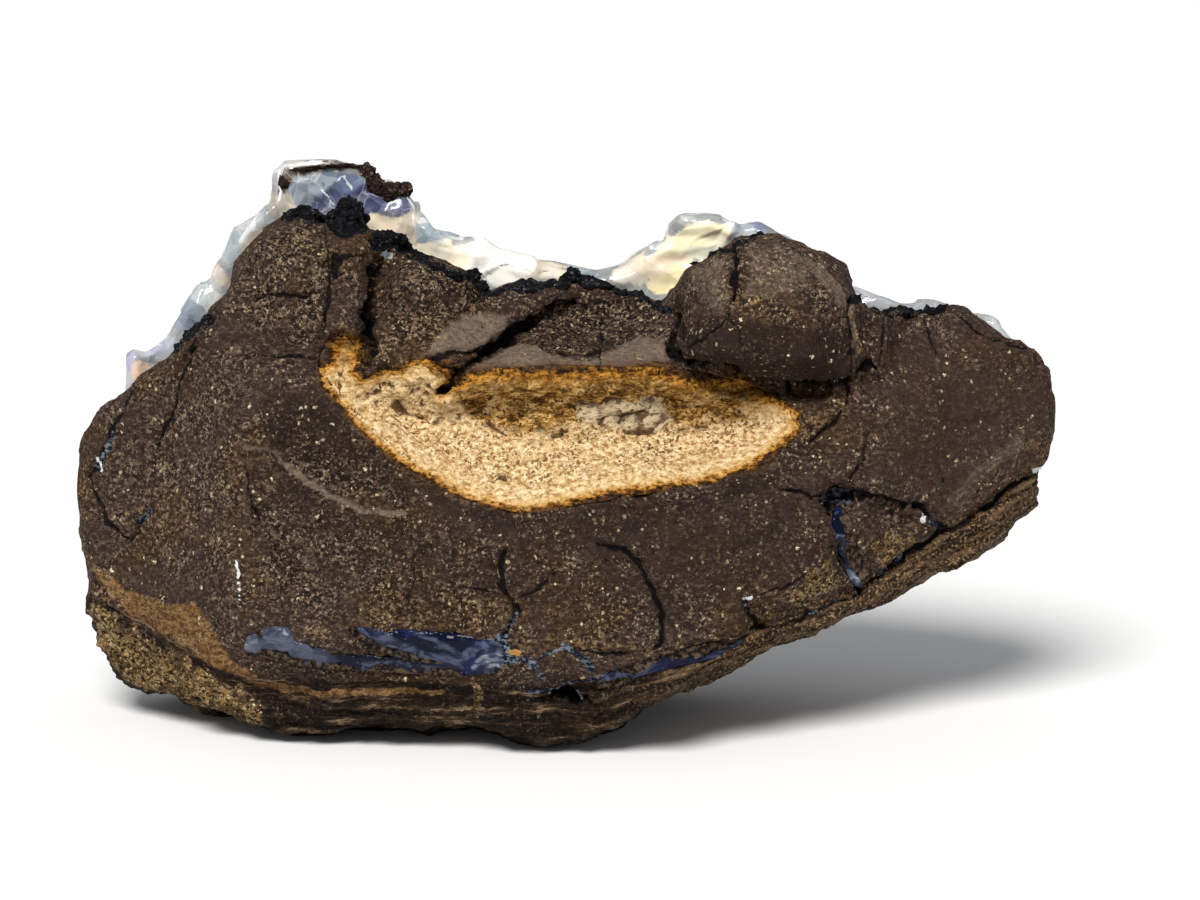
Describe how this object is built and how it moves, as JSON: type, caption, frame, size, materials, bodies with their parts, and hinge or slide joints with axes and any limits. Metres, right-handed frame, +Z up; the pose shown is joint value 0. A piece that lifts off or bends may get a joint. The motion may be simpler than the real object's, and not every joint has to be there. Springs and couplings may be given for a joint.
{
  "type": "rough opal specimen",
  "caption": "Broken block of dark ironstone with a pale sandy core in its front hollow, blue opal veins along its base and a see-through crystal opal crust over its back.",
  "frame": {"origin": "centre of the specimen's footprint box, on the surface it rests on", "axes": "+Z up; +X to the right when facing the broad face with the pale core; that face looks towards -Y and leans back, and the opal crust is on the +Y side"},
  "size_m": [0.1222, 0.0452, 0.0685],
  "materials": {
    "ironstone": "matte",
    "crystal_opal": "gloss",
    "sandstone": "matte",
    "blue_opal": "gloss"
  },
  "bodies": {
    "root": {"ironstone_matrix": "ironstone", "opal_crust": "crystal_opal", "pale_core": "sandstone", "wedge_opal_vein": "blue_opal", "ledge_opal_vein": "blue_opal", "crack_opal_vein": "blue_opal"}
  },
  "joints": []
}
